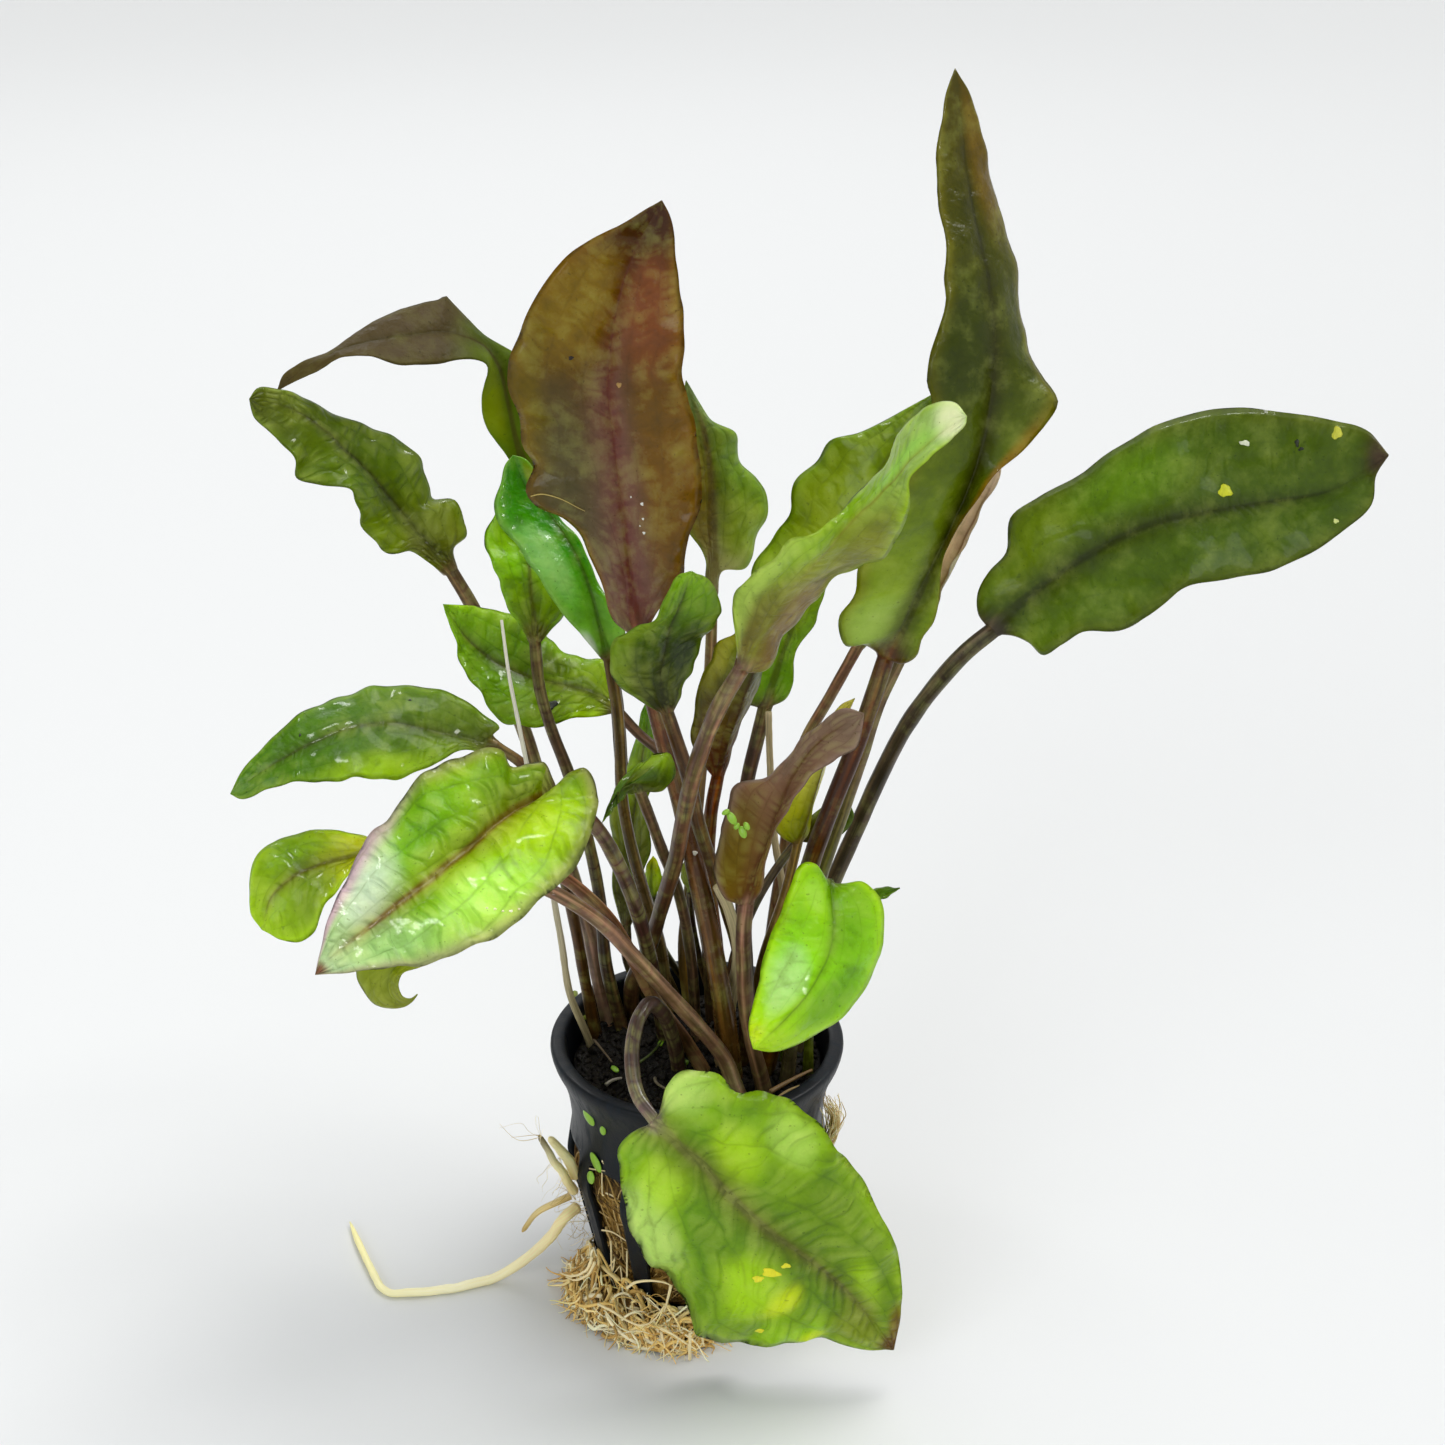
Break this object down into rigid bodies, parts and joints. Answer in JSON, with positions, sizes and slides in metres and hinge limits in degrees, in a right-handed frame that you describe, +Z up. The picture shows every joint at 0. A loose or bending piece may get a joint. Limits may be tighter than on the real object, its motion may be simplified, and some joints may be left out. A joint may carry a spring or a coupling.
{
  "type": "potted aquarium plant",
  "caption": "Rosette aquarium plant with long stalked, veined green and red-brown leaves, rooted in a small black slotted pot.",
  "frame": {"origin": "centre of the pot's foot, on the plane it rests on", "axes": "+Z up along the pot's axis, -Y towards the front, the side from which the drooping leaf is seen, +X to the right from there"},
  "size_m": [0.1723, 0.0993, 0.2081],
  "materials": {
    "pot_plastic": "satin black",
    "planting_medium": "wet and crumbly",
    "green_leaf": "wet and glossy",
    "red_leaf": "wet and glossy",
    "dry_stalk": "dull",
    "cream_root": "smooth",
    "root_fibre": "fibrous"
  },
  "bodies": {
    "root": {"broken_stub": "dry_stalk", "dry_stalk": "dry_stalk", "leaf_arching_left": "green_leaf", "leaf_back_centre": "red_leaf", "leaf_back_right_small": "green_leaf", "leaf_behind_bright": "green_leaf", "leaf_behind_tall": "green_leaf", "leaf_bright_twisted": "green_leaf", "leaf_brown_folded": "red_leaf", "leaf_curled_tip": "green_leaf", "leaf_far_right": "green_leaf", "leaf_front_drooping": "green_leaf", "leaf_front_left": "green_leaf", "leaf_glossy_green": "green_leaf", "leaf_half_hidden": "red_leaf", "leaf_hidden_right": "green_leaf", "leaf_inner_left": "green_leaf", "leaf_long_left": "green_leaf", "leaf_low_left": "green_leaf", "leaf_mid_left": "green_leaf", "leaf_oval_right": "green_leaf", "leaf_red_tall": "red_leaf", "leaf_right_front": "green_leaf", "leaf_small_centre": "green_leaf", "leaf_small_folded": "green_leaf", "leaf_small_right": "green_leaf", "leaf_tall_right": "green_leaf", "leaf_upper_left": "green_leaf", "leaf_upright_olive": "green_leaf", "long_root": "cream_root", "pale_stalk": "dry_stalk", "pot": "pot_plastic", "root_mat": "root_fibre", "root_stub_lower": "cream_root", "root_stub_upper": "cream_root", "root_tuft_right": "root_fibre", "short_root": "cream_root", "soil": "planting_medium", "sprout_green_left": "green_leaf", "sprout_green_right": "green_leaf"}
  },
  "joints": []
}
